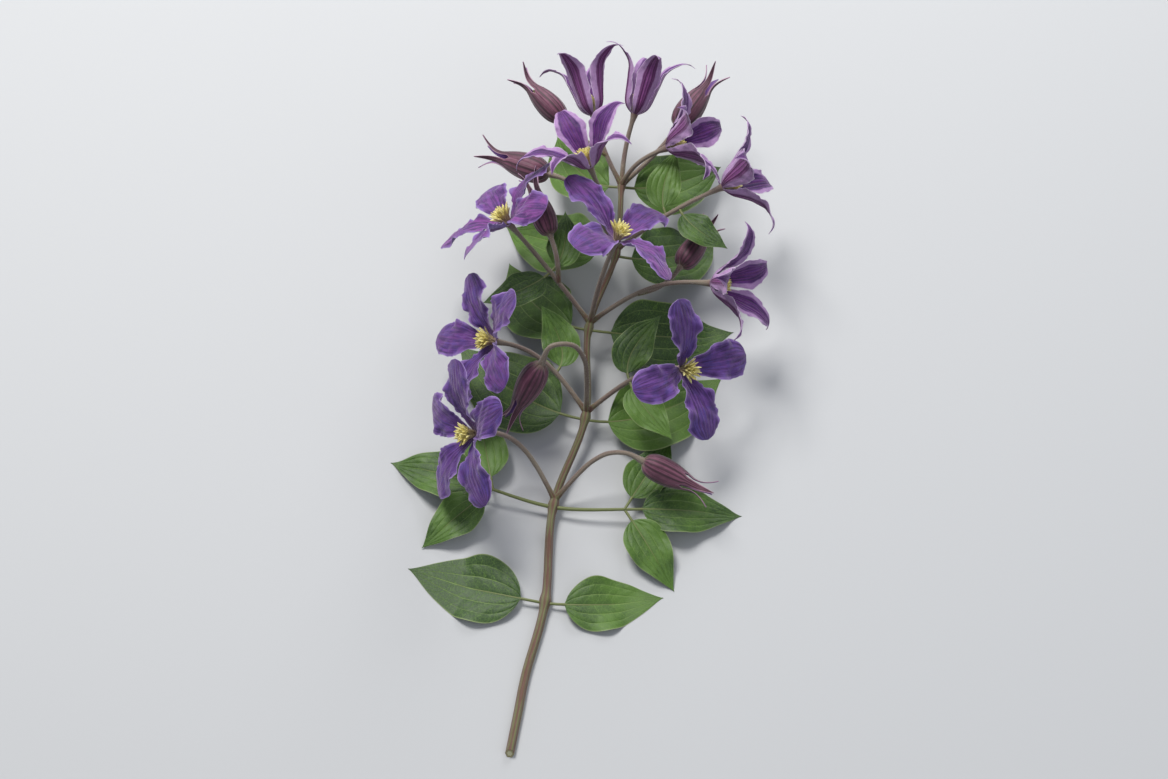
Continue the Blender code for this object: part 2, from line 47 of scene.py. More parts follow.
# paths and directions
def heading(azimuth, elevation):
    a, e = math.radians(azimuth), math.radians(elevation)
    return np.array([math.sin(a) * math.cos(e), math.cos(a) * math.cos(e), math.sin(e)])


def unit(vector):
    return vector / np.linalg.norm(vector)


def squareTo(way):
    reference = (0.0, 0.0, 1.0) if abs(way[2]) < 0.9 else (0.0, 1.0, 0.0)
    return unit(np.cross(way, reference))


def around(x, y, turn):
    # two directions square to each other, turned from x towards y
    c, s = math.cos(turn), math.sin(turn)
    return c * x + s * y, c * y - s * x


def soft(part):
    return part * part * (3 - 2 * part)


def eased(values, share):
    # smooth reading of evenly spaced values at shares from 0 to 1
    place = np.clip(share, 0, 1) * (len(values) - 1)
    low = np.minimum(place.astype(int), len(values) - 2)
    part = soft(place - low)
    values = np.asarray(values, float)
    return values[low] * (1 - part) + values[low + 1] * part


def smoothStep(values, low, high):
    return soft(np.clip((values - low) / (high - low), 0, 1))


def ridges(off, places, width, strengths=(1.0, 1.0, 1.0)):
    # ribs or veins across a blade: off is the distance from its middle line, in shares of the half width
    return sum(s * np.exp(-(((off - place) / width) ** 2)) for s, place in zip(strengths, places))


def summed(steps):
    return np.concatenate([[0.0], np.cumsum(steps)])


class Path:
    def __init__(self, points):
        self.points = np.asarray(points, float)
        self.run = summed(np.linalg.norm(np.diff(self.points, axis=0), axis=1))
        self.length = self.run[-1]

    def at(self, distance):
        return np.array([np.interp(distance, self.run, self.points[:, k]) for k in range(3)]).T

    def way(self, distance, reach=0.5):
        return unit(self.at(min(distance + reach, self.length)) - self.at(max(distance - reach, 0.0)))


def through(knots, spacing):
    # a smooth curve through the knots, read at an even spacing
    knots = np.asarray(knots, float)
    padded = np.vstack([2 * knots[0] - knots[1], knots, 2 * knots[-1] - knots[-2]])
    t = np.linspace(0, 1, 40, endpoint=False)[:, None]
    parts = []
    for a, b, c, d in zip(padded, padded[1:], padded[2:], padded[3:]):
        square = 2 * a - 5 * b + 4 * c - d
        cube = 3 * b - a - 3 * c + d
        parts.append(0.5 * (2 * b + (c - a) * t + square * t**2 + cube * t**3))
    curve = Path(np.vstack([*parts, knots[-1:]]))
    return Path(curve.at(np.linspace(0, curve.length, max(2, round(curve.length / spacing) + 1))))


def turning(start, first, last, length, late, steps):
    # a path that turns from its first way to its last, the later the higher the power
    share = soft(((np.arange(steps) + 0.5) / steps) ** late)[:, None]
    angle = math.acos(float(np.clip(first @ last, -0.9999, 0.9999)))
    ways = (np.sin((1 - share) * angle) * first + np.sin(share * angle) * last) / math.sin(angle)
    return Path(np.vstack([start, start + np.cumsum(ways * length / steps, axis=0)]))


# mesh building: a piece collects its shells, with the fields that its finish reads
class Piece:
    def __init__(self):
        self.points, self.faces, self.fields, self.count = [], [], {}, 0

    def add(self, points, faces, **fields):
        self.points.append(points)
        self.faces += [tuple(int(i) + self.count for i in face) for face in faces]
        for key, values in fields.items():
            values = np.asarray(values, float)
            shape = (len(points), 3) if key == "place" else (len(points),)
            self.fields.setdefault(key, []).append(np.broadcast_to(values, shape))
        self.count += len(points)

    def make(self, name, finish, nodeName=None, sharp=None):
        mesh = bpy.data.meshes.new(name)
        mesh.from_pydata(np.vstack(self.points) * mm, [], self.faces)
        for key, parts in self.fields.items():
            values = np.concatenate(parts).astype(np.float32)
            kind, entry = ("FLOAT", "value") if values.ndim == 1 else ("FLOAT_VECTOR", "vector")
            mesh.attributes.new(key, kind, "POINT").data.foreach_set(entry, values.ravel())
        mesh.shade_smooth()
        if sharp:
            mesh.set_sharp_from_angle(angle=math.radians(sharp))
        obj = bpy.data.objects.new(name, mesh)
        bpy.context.scene.collection.objects.link(obj)
        mesh.materials.append(finish)
        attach(obj, "root")
        if nodeName:
            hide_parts(nodeName)


# fields of the parts of a piece that are no blade: stalks and hubs, and what stands inside a bud
plain = {"across": 0.0, "along": -1.0, "front": 1.0}
young = {"across": 1.0, "along": 2.0, "front": 1.0}


def bridged(rows, sides):
    # the faces between rings of points that follow one another
    k = np.arange(sides)
    faces = []
    for i in range(rows - 1):
        a, b = i * sides + k, i * sides + (k + 1) % sides
        faces += np.stack([b, a, a + sides, b + sides], axis=1).tolist()
    return faces


def spread(*parts):
    # places on a blade for its finish: across and along it in millimetres, and a shift of its own
    return np.stack(np.broadcast_arrays(*parts), axis=-1)


def addBlade(piece, grid, thickness, across, along, tone, place):
    # a closed thin shell round a middle surface; front is 1 on the face that the surface's normal points to
    rows, columns = grid.shape[:2]
    normal = np.cross(np.gradient(grid, axis=1), np.gradient(grid, axis=0))
    normal /= np.maximum(np.linalg.norm(normal, axis=2), 1e-9)[..., None]
    offset = normal * (np.broadcast_to(thickness, (rows, columns)) / 2)[..., None]
    points = np.vstack([(grid + offset).reshape(-1, 3), (grid - offset).reshape(-1, 3)])
    back = rows * columns
    at = np.arange(back).reshape(rows, columns)
    front = np.stack([at[:-1, :-1], at[:-1, 1:], at[1:, 1:], at[1:, :-1]], axis=-1).reshape(-1, 4)
    rim = np.concatenate([at[0], at[1:, -1], at[-1, -2::-1], at[-2:0:-1, 0]])
    following = np.roll(rim, -1)
    band = np.stack([rim, rim + back, following + back, following], axis=1)
    faces = np.vstack([front, front[:, [0, 3, 2, 1]] + back, band])
    across, along = [np.tile(np.broadcast_to(f, (rows, columns)).ravel(), 2) for f in (across, along)]
    face = np.repeat([1.0, 0.0], back)
    place = np.tile(place.reshape(-1, 3), (2, 1))
    piece.add(points, faces, across=across, along=along, front=face, tone=tone, place=place)


def addTube(piece, points, radii, sides, section=None, slant=0.0, openStart=False, **fields):
    # rings carried along the points without twist; section scales the radius round each ring
    points = np.asarray(points, float)
    ways = np.gradient(points, axis=0)
    ways = ways / np.linalg.norm(ways, axis=1)[:, None]
    side = squareTo(ways[0])
    turns = 2 * np.pi * np.arange(sides) / sides
    shape = np.ones(sides) if section is None else section(turns)
    rings = []
    for i, (centre, way, radius) in enumerate(zip(points, ways, radii)):
        side = unit(side - (side @ way) * way)
        up = np.cross(side, way)
        reach = radius * shape
        ring = centre + np.outer(reach * np.cos(turns), side) + np.outer(reach * np.sin(turns), up)
        if i == 0 and slant:
            ring += np.outer((ring - centre) @ up, way) * slant
        rings.append(ring)
    count = len(rings)
    faces = bridged(count, sides)
    if not openStart:
        faces.append(list(range(sides)))
    faces.append(list(range(count * sides - 1, (count - 1) * sides - 1, -1)))
    values = {key: np.repeat(v, sides) if np.ndim(v) == 1 else v for key, v in fields.items()}
    if "run" in fields:
        values["ringX"], values["ringY"] = np.tile(np.cos(turns), count), np.tile(np.sin(turns), count)
    piece.add(np.vstack(rings), faces, place=np.vstack(rings), **values)
    return rings[0]


def addTurned(piece, foot, way, profile, spacing, sides, **fields):
    # a turned form on a foot: the profile holds heights and radii
    line = through([(a, r, 0.0) for a, r in profile], spacing).points
    addTube(piece, foot + np.outer(line[:, 0], way), line[:, 1], sides, **fields)


# shader maths
class Signal:
    def __init__(self, finish, socket):
        self.finish, self.socket = finish, socket

    def __add__(self, other):
        return self.finish.maths("ADD", self, other)

    def __radd__(self, other):
        return self.finish.maths("ADD", other, self)

    def __sub__(self, other):
        return self.finish.maths("SUBTRACT", self, other)

    def __rsub__(self, other):
        return self.finish.maths("SUBTRACT", other, self)

    def __mul__(self, other):
        return self.finish.maths("MULTIPLY", self, other)

    def __rmul__(self, other):
        return self.finish.maths("MULTIPLY", other, self)

    def __abs__(self):
        return self.finish.maths("ABSOLUTE", self)


class Finish:
    def __init__(self, name, **shader):
        self.material = bpy.data.materials.new(name)
        self.material.use_nodes = True
        self.tree = self.material.node_tree
        self.use(**shader)

    def node(self, kind, settings=None, sockets=None, output=0):
        made = self.tree.nodes.new(kind)
        for key, value in (settings or {}).items():
            setattr(made, key, value)
        for key, value in (sockets or {}).items():
            self.feed(made.inputs[key], value)
        return Signal(self, made.outputs[output])

    def feed(self, socket, value):
        if isinstance(value, Signal):
            self.tree.links.new(value.socket, socket)
        else:
            socket.default_value = value

    def fields(self, *names):
        # what the pieces carry at their points: place is a vector, the others are numbers
        outputs = {"place": "Vector"}
        kind = "ShaderNodeAttribute"
        return [self.node(kind, {"attribute_name": n}, output=outputs.get(n, "Fac")) for n in names]

    def smooth(self, value, low, high):
        settings = {"interpolation_type": "SMOOTHSTEP"}
        return self.node("ShaderNodeMapRange", settings, {"Value": value, "From Min": low, "From Max": high})

    def vector(self, x, y, z):
        return self.node("ShaderNodeCombineXYZ", None, {0: x, 1: y, 2: z})

    def maths(self, operation, *values):
        return self.node("ShaderNodeMath", {"operation": operation}, dict(enumerate(values)))

    def vectorMaths(self, operation, first, second):
        return self.node("ShaderNodeVectorMath", {"operation": operation}, {0: first, 1: second})

    def noise(self, vector, scale, detail=2.0, roughness=0.5, distortion=0.0):
        values = {"Vector": vector, "Scale": scale, "Detail": detail}
        values |= {"Roughness": roughness, "Distortion": distortion}
        return self.node("ShaderNodeTexNoise", None, values)

    def mix(self, factor, first, second):
        settings = {"data_type": "RGBA", "blend_type": "MIX"}
        return self.node("ShaderNodeMix", settings, {0: factor, 6: first, 7: second}, 2)

    def line(self, value, middle, width):
        # 1 on the line where value is middle, fading to 0 at width from it
        return 1 - self.smooth(abs(value - middle), 0.0, width)

    def lines(self, value, places, drawn):
        # a line at each place, drawn with its own width and strength
        return sum(self.line(value, at, width) * strength for at, (width, strength) in zip(places, drawn))

    def bump(self, height, depth):
        return self.node("ShaderNodeBump", None, {"Height": height, "Distance": depth * mm})

    def use(self, **sockets):
        shader = self.tree.nodes["Principled BSDF"]
        for key, value in sockets.items():
            self.feed(shader.inputs[key.replace("_", " ")], value)
        return self.material


def rgb(red, green, blue):
    # a colour as seen on screen, 0 to 255, made linear
    parts = [v / 255 for v in (red, green, blue)]
    return tuple(p / 12.92 if p <= 0.04045 else ((p + 0.055) / 1.055) ** 2.4 for p in parts) + (1.0,)


# the main stem and its shoots, in millimetres and degrees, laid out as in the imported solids
stemPlan = {
    "cutEnd": (-0.9, -256), "radius": 2.8, "topRadius": 1.8, "cutSlant": 0.6, "jointSwell": 1.1,
    "jointReach": 4.5, "flatRun": (0, 28, 56),
    # joints 1 to 6: across and along from the cut end, and the height there
    "joints": ((3, 108, 3.7), (-4, 176, 7), (6, 242, 14), (-3, 306, 23), (6, 364, 31), (1, 416, 39)),
    "ribs": 6, "ribHeight": 0.07, "sides": 48,
}

shootPlan = {
    "radius": 1.7, "stalkRadius": 1.5, "endRadius": 2.5, "ribHeight": 0.035, "steps": 6,
    "sides": 20,
}

# where each shoot leaves, its first and last heading, length, how late it turns, and what it carries
shoots = {
    "top": (6, (-6, 20), (10, 34), 50, 1, ("bell", 4, 20)),
    "top_right": (6, (44, 22), (24, 8), 58, 1.4, ("bud", 56, 9, 0)),
    "top_left": (6, (-44, 30), (-26, 24), 52, 1, ("bell", 4, 50)),
    "top_up": (6, (46, 62), (74, 28), 46, 1, ("star", 5, 20)),
    "five_right": (5, (56, 30), (64, 20), 84, 1.2, ("star", 4, 10)),
    "five_left": (5, (-44, 26), (-76, -10), 74, 2.2, ("bud", 58, 9.2, 30)),
    "five_up": (5, (-34, 60), (-52, 58), 66, 1, ("star", 5, 35)),
    "four_right": (4, (54, 26), (98, 20), 92, 1.2, ("star", 5, 40)),
    "four_left": (4, (-52, 24), (-70, 46), 88, 1.4, ("wide", 5, 15)),
    "four_up": (4, (14, 66), (34, 62), 70, 1, ("wide", 4, 0)),
    "three_left": (3, (-50, 24), (-112, 34), 84, 1.4, ("wide", 5, 25)),
    "three_right": (3, (50, 26), (116, 40), 82, 1.4, ("wide", 4, 60)),
    "three_up": (3, (-8, 68), (-166, -64), 90, 2.4, ("bud", 58, 8.8, 45)),
    "two_left": (2, (-44, 36), (-124, 28), 80, 1.6, ("wide", 5, 70)),
    "right_bud": (("four_right", 0.42), (60, -10), (22, 0), 40, 1, ("bud", 48, 8, 10)),
    "two_right": (2, (42, 36), (108, -14), 74, 2, ("bud", 54, 8.6, 20)),
    "top_left_bud": (("top_left", 0.45), (-74, 20), (-52, 8), 40, 1, ("bud", 52, 8.4, 15)),
    "four_left_bud": (("four_left", 0.4), (-10, 50), (-30, 15), 34, 1, ("bud", 50, 8.2, 30)),
}

stemLook = {
    "green": rgb(104, 104, 62), "brown": rgb(96, 62, 46), "grey": rgb(134, 124, 108),
    "plum": rgb(112, 92, 86), "pith": rgb(204, 202, 162), "wood": rgb(156, 148, 106),
}


def stemFinish():
    finish = Finish("stem_skin", Sheen_Weight=0.3)
    look, mix, smooth, noise = stemLook, finish.mix, finish.smooth, finish.noise
    run, ringX, ringY, flower, cut, place = finish.fields("run", "ringX", "ringY", "flower", "cut", "place")
    lengthwise = noise(finish.vector(ringX * 4.8, ringY * 4.8, run * 0.10 + flower * 3), 1.0, 3.0, 0.6)
    cloud = noise(finish.vector(ringX * 0.5, ringY * 0.5, run * 0.035 + flower * 5), 1.0, 3.0)
    grain = noise(place, 1.4, 3.0, 0.6)
    turn = finish.maths("ARCTAN2", ringY, ringX)
    ribs = finish.maths("COSINE", turn * stemPlan["ribs"])
    main = mix(smooth(cloud + ribs * 0.14, 0.36, 0.66), look["brown"], look["green"])
    main = mix(smooth(lengthwise, 0.5, 0.8) * 0.4, main, look["grey"])
    stalk = mix(smooth(cloud, 0.3, 0.75), look["grey"], look["plum"])
    stalk = mix(smooth(lengthwise, 0.45, 0.75) * 0.5, stalk, look["brown"])
    colour = mix(flower, main, stalk)
    ring = mix(smooth(cut, 0.52, 0.60), look["pith"], look["wood"])
    colour = mix(smooth(cut, -0.5, 0.0) * (1 - smooth(cut, 0.9, 0.98)), colour, ring)
    height = lengthwise * 0.7 + grain * 0.5
    return finish.use(Base_Color=colour, Normal=finish.bump(height, 0.35), Roughness=0.55 + grain * 0.2)


def stemRoute():
    # the stem's middle line, and how far along it each joint is
    foot = stemPlan["radius"] * math.cos(math.pi / 8)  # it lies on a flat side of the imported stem
    x, y = stemPlan["cutEnd"]
    joints = [(x + a, y + b, c) for a, b, c in stemPlan["joints"]]
    route = through([(x, y + run, foot) for run in stemPlan["flatRun"]] + joints, 1.0)
    route.points[:, 2] = np.maximum(route.points[:, 2], foot)
    nearest = [np.argmin(np.linalg.norm(route.points - joint, axis=1)) for joint in joints]
    return route, [float(route.run[i]) for i in nearest]


route, jointRuns = stemRoute()


def stemRadius(distance):
    upwards = np.maximum(0.0, distance - jointRuns[0]) / (route.length - jointRuns[0])
    swell = sum(np.exp(-(((distance - run) / stemPlan["jointReach"]) ** 2)) for run in jointRuns)
    taper = (stemPlan["topRadius"] - stemPlan["radius"]) * upwards
    return stemPlan["radius"] + taper + stemPlan["jointSwell"] * np.minimum(1.0, swell)


def foothold(place, along):
    # the point, way and radius of what carries a shoot or a leaf
    if isinstance(place, int):
        run = min(jointRuns[place - 1] + along, route.length)
        return route.at(run), route.way(run), float(stemRadius(run))
    shoot, share = place
    path = shootPaths[shoot]
    return path.at(path.length * share), path.way(path.length * share), shootPlan["radius"]


shootPaths = {}
for name, (place, first, last, length, late, _) in shoots.items():
    start = foothold(place, 4.0)[0]
    shootPaths[name] = turning(start, heading(*first), heading(*last), length, late, shootPlan["steps"])


def ribbed(height, ribs):
    # a section with ribs round it, for addTube
    return lambda turns: 1 + height * np.cos(ribs * turns)


hairyShoots = []  # the shoots where hairs grow, with their radii


def shootRadii(fine, onStem):
    # thinner up the shoot, wider under the flower, and swollen where it leaves what carries it
    plan = shootPlan
    share = fine.run / fine.length
    radii = plan["radius"] + (plan["stalkRadius"] - plan["radius"]) * share
    radii = radii + (plan["endRadius"] - plan["stalkRadius"]) * np.clip((share - 0.86) / 0.14, 0, 1) ** 1.5
    return radii + (0.7 if onStem else 0.1) * np.exp(-((fine.run / 5.0) ** 2))


def makeStem():
    piece = Piece()
    runs = np.arange(0.0, route.length + 0.01, 1.25)
    radii = stemRadius(runs) * 0.97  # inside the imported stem, as the ribs stand out
    points = route.at(runs)
    section = ribbed(stemPlan["ribHeight"], stemPlan["ribs"])
    ends = {"slant": stemPlan["cutSlant"], "openStart": True}
    values = {"run": runs, "flower": 0.0, "cut": -1.0}
    addCutFace(piece, addTube(piece, points, radii, stemPlan["sides"], section, **ends, **values))
    section = ribbed(shootPlan["ribHeight"], stemPlan["ribs"])
    for number, (name, path) in enumerate(shootPaths.items()):
        fine = through(path.points, 1.0)
        radii = shootRadii(fine, isinstance(shoots[name][0], int))
        values = {"run": fine.run + 40 * number, "flower": smoothStep(fine.run, 2, 16), "cut": -1.0}
        addTube(piece, fine.points, radii, shootPlan["sides"], section, **values)
        hairyShoots.append((fine, radii))
    for part in piece.points:
        part[:, 2] = np.maximum(part[:, 2], 0.02)
    piece.make("stemFine", stemFinish(), "stem", 50)


def addCutFace(piece, ring):
    # the slanting cut, in rings from the skin to the pith
    centre = ring.mean(axis=0)
    shares = (1.0, 0.96, 0.62, 0.54, 0.2)
    sides = len(ring)
    points = np.vstack([centre + (ring - centre) * s for s in shares])
    faces = [[q, p, s, r] for p, q, r, s in bridged(len(shares), sides)]  # turned over, to face outward
    faces.append(list(range((len(shares) - 1) * sides, len(shares) * sides)))
    turns = np.tile(2 * np.pi * np.arange(sides) / sides, len(shares))
    values = {"ringX": np.cos(turns), "ringY": np.sin(turns), "cut": np.repeat(shares, sides)}
    piece.add(points, faces, run=0.0, flower=0.0, place=points, **values)


makeStem()
print("stem: main stem with", len(shootPaths), "shoots")


# blooms
petalForms = {
    "bell": {
        "length": 58, "halfWidth": 10.2, "rise": 0.75, "fall": 1.30,
        "lean": (62, 10, 12, 54, 116), "wrap": (0.16, 0.12, 0.07, 0.04, 0.04),
        "ruffle": 0.3, "crimp": 0.50, "fold": 0.14, "rib": 0.42, "stamens": 36, "spread": 12, "aged": 0,
    },
    "star": {
        "length": 56, "halfWidth": 11.4, "rise": 0.80, "fall": 1.22,
        "lean": (64, 34, 42, 76, 140), "wrap": (0.14, 0.09, 0.04, 0.02, 0.03),
        "ruffle": 0.7, "crimp": 0.80, "fold": 0.26, "rib": 0.36, "stamens": 42, "spread": 20, "aged": 0.2,
    },
    "wide": {
        "length": 52, "halfWidth": 13.6, "rise": 1.05, "fall": 0.50,
        "lean": (66, 58, 74, 92, 104), "wrap": (0.13, 0.07, 0.02, -0.02, -0.03),
        "ruffle": 1.8, "crimp": 1.15, "fold": 0.55, "rib": 0.26, "stamens": 44, "spread": 30, "aged": 0.8,
    },
}

petalDetail = {
    "claw": 1.9, "sideBySide": 0.88, "rows": 46, "ribWidth": 0.045, "ribStrengths": (1.0, 1.0, 0.7),
    "crimpLength": 5.2, "foldLength": 17, "creaseLength": 10.5, "notchLength": 7.0,
    "thickness": 0.5, "edgeThickness": 0.22, "seatGap": 0.3,
    "hub": ((-1.5, 2.3), (-0.3, 2.55), (0.6, 2.7), (1.6, 2.4), (2.6, 1.6)), "stamenSeat": 2.6,
    "core": ((0.0, 2.2), (3.0, 2.3), (6.5, 1.8), (8.5, 0.7)),
}
petalRibs = (0.0, 0.24, 0.42)  # in shares of the half width, drawn by the finish and raised in the shape

youngPetal = {
    "outerBand": rgb(145, 81, 143), "outerFoot": rgb(131, 68, 108), "rib": rgb(79, 26, 73),
    "margin": rgb(188, 150, 197), "rim": rgb(228, 210, 233), "inner": rgb(89, 44, 122),
    "innerDeep": rgb(56, 27, 82), "innerRosy": rgb(111, 52, 131), "patch": rgb(85, 49, 135),
    "innerMargin": rgb(183, 145, 195),
}

maturePetal = {
    "outerBand": rgb(112, 58, 140), "outerFoot": rgb(116, 64, 126), "rib": rgb(74, 30, 98),
    "margin": rgb(148, 122, 190), "rim": rgb(186, 166, 216), "inner": rgb(101, 64, 142),
    "innerDeep": rgb(60, 33, 90), "innerRosy": rgb(142, 72, 150), "patch": rgb(84, 68, 150),
    "innerMargin": rgb(134, 102, 172),
}

# bandHalf is half the width of the plum band outside, innerEdge is where the paler edge inside begins
petalLooks = {
    "bell": {**youngPetal, "bandHalf": 0.40, "innerEdge": 0.56, "ribs": 1.0},
    "star": {**youngPetal, "bandHalf": 0.38, "innerEdge": 0.62, "ribs": 1.1},
    "wide": {**maturePetal, "bandHalf": 0.36, "innerEdge": 0.84, "ribs": 0.7},
}

petalShared = {
    "innerFoot": rgb(150, 132, 150),
    "hub": rgb(124, 106, 96),
    "ribLines": ((0.05, 0.7), (0.06, 1.0), (0.06, 0.5)),  # widths and strengths, at petalRibs
    "veinLines": ((0.06, 1.0), (0.05, 0.7), (0.05, 0.5)),
}


def petalOutside(finish, look, along, edge, wobble, streaks, mottle):
    # a plum band of ribs between pale margins
    mix, smooth = finish.mix, finish.smooth
    bandHalf = along * along * 0.24 + look["bandHalf"]
    band = 1 - smooth(wobble - bandHalf, -0.10, 0.07)
    margin = mix(smooth(streaks, 0.45, 0.85) * 0.3, look["margin"], look["outerBand"])
    bandColour = mix(smooth(along + mottle * 0.3, 0.05, 0.55), look["outerFoot"], look["outerBand"])
    colour = mix(band, margin, bandColour)
    colour = mix(smooth(wobble, 0.13, 0.25) * band * 0.55, colour, look["rib"])
    ribs = finish.lines(edge, petalRibs, petalShared["ribLines"]) * look["ribs"]
    colour = mix(ribs * (1 - smooth(along, 0.80, 1.0) * 0.5), colour, look["rib"])
    return mix(smooth(edge, 0.90, 1.0) * 0.8, colour, look["rim"])


def petalInside(finish, look, tone, place, edge, wobble, streaks, mottle):
    # velvet, deepest between the veins, with a paler edge
    mix, smooth = finish.mix, finish.smooth
    rosy = smooth(tone, 0.4, 1.0)
    velvet = mix(rosy, look["inner"], look["innerRosy"])
    patches = smooth(finish.noise(place, 0.09, 2.0, 0.5, 0.6), 0.46, 0.62)
    velvet = mix(patches * (0.65 - rosy * 0.35), velvet, look["patch"])
    colour = mix(smooth(streaks + (mottle - 0.5) * 0.25, 0.32, 0.64), look["innerDeep"], velvet)
    veins = finish.lines(edge, petalRibs, petalShared["veinLines"])
    colour = mix(veins * 0.45, colour, look["outerFoot"])
    paler = smooth(wobble, look["innerEdge"] - 0.05, look["innerEdge"] + 0.09)
    colour = mix(paler * 0.9, colour, look["innerMargin"])
    return mix(smooth(edge, 0.94, 1.0) * 0.7, colour, look["rim"])


def petalFinish(name, look):
    finish = Finish(name, Specular_IOR_Level=0.3, Sheen_Weight=0.35, Sheen_Roughness=0.45)
    finish.use(Sheen_Tint=(0.92, 0.74, 0.98, 1.0))
    mix, smooth, noise = finish.mix, finish.smooth, finish.noise
    across, along, front, tone, place = finish.fields("across", "along", "front", "tone", "place")
    edge = abs(across)
    streaks = noise(finish.vector(across * 9, along * 2.6, tone * 9), 1.0, 4.0, 0.6)
    mottle = noise(place, 0.22, 3.0, 0.55)
    fine = noise(finish.vectorMaths("MULTIPLY", place, (2.6, 0.5, 1.0)), 1.0)
    wobble = edge + (mottle - 0.5) * 0.16 + (streaks - 0.5) * 0.10
    foot = 1 - smooth(along, 0.0, 0.16)
    outer = petalOutside(finish, look, along, edge, wobble, streaks, mottle)
    outer = mix(foot * 0.5, outer, look["rib"])
    inner = petalInside(finish, look, tone, place, edge, wobble, streaks, mottle)
    inner = mix(foot * 0.55, inner, petalShared["innerFoot"])
    colour = mix(front, inner, outer)
    colour = mix((fine - 0.5) * 0.5 + 0.16, colour, look["innerDeep"])
    colour = mix(1 - smooth(along, -0.5, 0.0), colour, petalShared["hub"])
    height = streaks * 0.65 + fine * 0.35 + mottle * 0.8
    return finish.use(Base_Color=colour, Normal=finish.bump(height, 0.55), Roughness=0.46 + streaks * 0.24)


stamenLook = {
    "filament": rgb(206, 200, 148), "agedFilament": rgb(168, 138, 108),
    "anther": rgb(238, 230, 160), "antherDeep": rgb(210, 196, 112),
}


def stamenFinish():
    finish = Finish("stamen_cream", Roughness=0.55)
    look, mix, smooth = stamenLook, finish.mix, finish.smooth
    along, tone, aged, place = finish.fields("along", "tone", "aged", "place")
    grain = finish.noise(place, 2.2, 3.0, 0.6)
    filament = mix(aged * 0.7, look["filament"], look["agedFilament"])
    ripe = smooth(grain + (tone - 0.5) * 0.5, 0.3, 0.75)
    colour = mix(smooth(along, 0.40, 0.52), filament, mix(ripe, look["antherDeep"], look["anther"]))
    return finish.use(Base_Color=colour, Normal=finish.bump(grain, 0.12))


petalSkins = {form: petalFinish("petals_" + form, look) for form, look in petalLooks.items()}
stamenSkin = stamenFinish()


def columnsRound(places, width, count):
    # stations across a blade: even ones, with more beside each rib or vein
    stations = set(np.linspace(-1, 1, count).round(4))
    for place in places:
        for sign in (-1, 1):
            stations = {s for s in stations if abs(s - sign * place) > 1.6 * width}
            stations |= {round(sign * place + k * width, 4) for k in (-1, 0, 1)}
    return np.array(sorted(s for s in stations if abs(s) <= 1))


petalColumns = columnsRound(petalRibs, petalDetail["ribWidth"], 17)


def frill(run, u, phase, wavelength):
    # uneven waves along an edge, different on its two sides
    turn = 2 * np.pi * (run / wavelength + 7 * phase + 0.37 * np.sign(u))
    swing = np.sin(0.31 * turn + 3.1 * phase + np.sign(u))
    return (0.6 * np.sin(turn + 1.9 * swing) + 0.5 * np.sin(0.47 * turn + 5 * phase)) * (0.65 + 0.55 * swing)


def outlined(form, share):
    # the outline of a blade, 1 at its widest: rise and fall shape its foot and its tip
    peak = form["rise"] / (form["rise"] + form["fall"])
    top = peak ** form["rise"] * (1 - peak) ** form["fall"]
    return share ** form["rise"] * (1 - share) ** form["fall"] / top


def petalLine(form, quirk):
    # a petal's middle line from its seat: share of its length, distances out and up, and lean
    steps = 4 * petalDetail["rows"]
    fine = np.linspace(0, 1, steps + 1)
    lean = np.radians(eased(form["lean"], fine) + quirk["lean"] * fine)
    step = form["length"] * quirk["length"] / steps
    middle = (lean[1:] + lean[:-1]) / 2
    out = summed(np.sin(middle))[::4] * step + 1.4
    up = summed(np.cos(middle))[::4] * step + 1.3
    share = fine[::4]
    foot = (1 - share) ** 8
    return share, out - 0.2 * foot, up - 0.9 * foot, lean[::4]


def petalHalf(form, count, quirk, share, out):
    # its half width: a claw at the foot, and never wider than its neighbours leave room for
    claw = petalDetail["claw"]
    half = form["halfWidth"] * quirk["width"] * outlined(form, share)
    half = np.maximum(half + claw * (1 - share) ** 4, 1.9 * (1 - share + 1e-3) ** 0.34)
    return np.minimum(half, np.maximum(claw, petalDetail["sideBySide"] * out * math.pi / count))


def petalLift(form, quirk, share, half, u):
    # how far the surface stands in from its middle line: waves, a crimped edge, soft folds and raised ribs
    phase, run, off = quirk["phase"], share * form["length"], np.abs(u)
    swell = np.sin(np.pi * share)
    wave = np.sin(2 * np.pi * (quirk["waves"] * share + phase) + 1.7 * np.sign(u))
    lift = form["ruffle"] * swell * u**2 * wave
    lift = lift + form["crimp"] * swell**0.5 * off**4 * frill(run, u, phase, petalDetail["crimpLength"])
    folds = np.sin(2 * np.pi * (run / petalDetail["foldLength"] + 0.9 * u + 3 * phase))
    folds = folds + np.sin(2 * np.pi * (run / petalDetail["creaseLength"] - 1.3 * u + quirk["waves"]))
    lift = lift + form["fold"] * swell * folds * (0.25 + u**2)
    reach = np.minimum(1.0, half / 5.0) * (1 - smoothStep(share, 0.8, 1.0))
    ribs = ridges(off, petalRibs, petalDetail["ribWidth"], petalDetail["ribStrengths"])
    return lift - form["rib"] * reach * ribs


